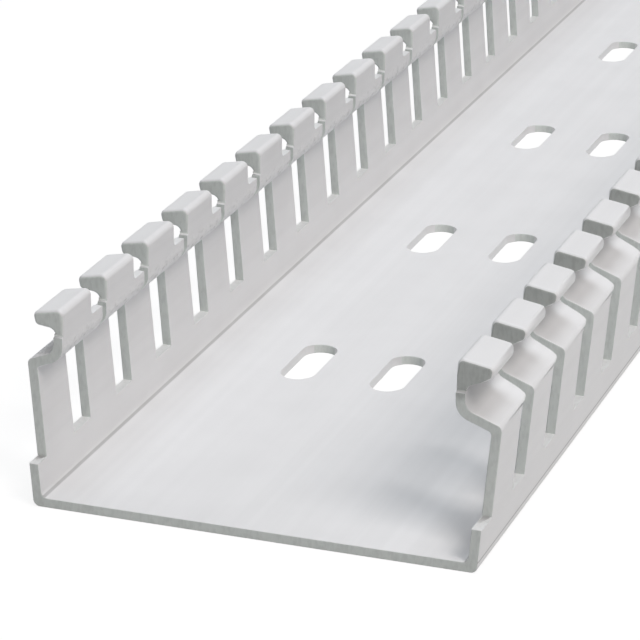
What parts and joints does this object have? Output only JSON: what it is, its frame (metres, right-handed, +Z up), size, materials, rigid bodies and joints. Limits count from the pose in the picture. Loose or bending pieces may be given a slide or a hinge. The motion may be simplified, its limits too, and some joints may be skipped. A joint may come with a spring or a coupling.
{
  "type": "slotted wire duct",
  "caption": "Low, wide slotted wire duct base: one white plastic trough with punched fingers along both side walls, lips for a cover and mounting slots in its floor.",
  "frame": {"origin": "under the middle of the floor, halfway along the length", "axes": "+Y along the duct, away from the end that the picture shows; +X across it to the right; +Z up out of the open top"},
  "size_m": [0.0572, 0.508, 0.0238],
  "materials": {
    "rigid_pvc": "satin white extruded rigid PVC"
  },
  "bodies": {
    "root": {"duct_base": "rigid_pvc"}
  },
  "joints": []
}
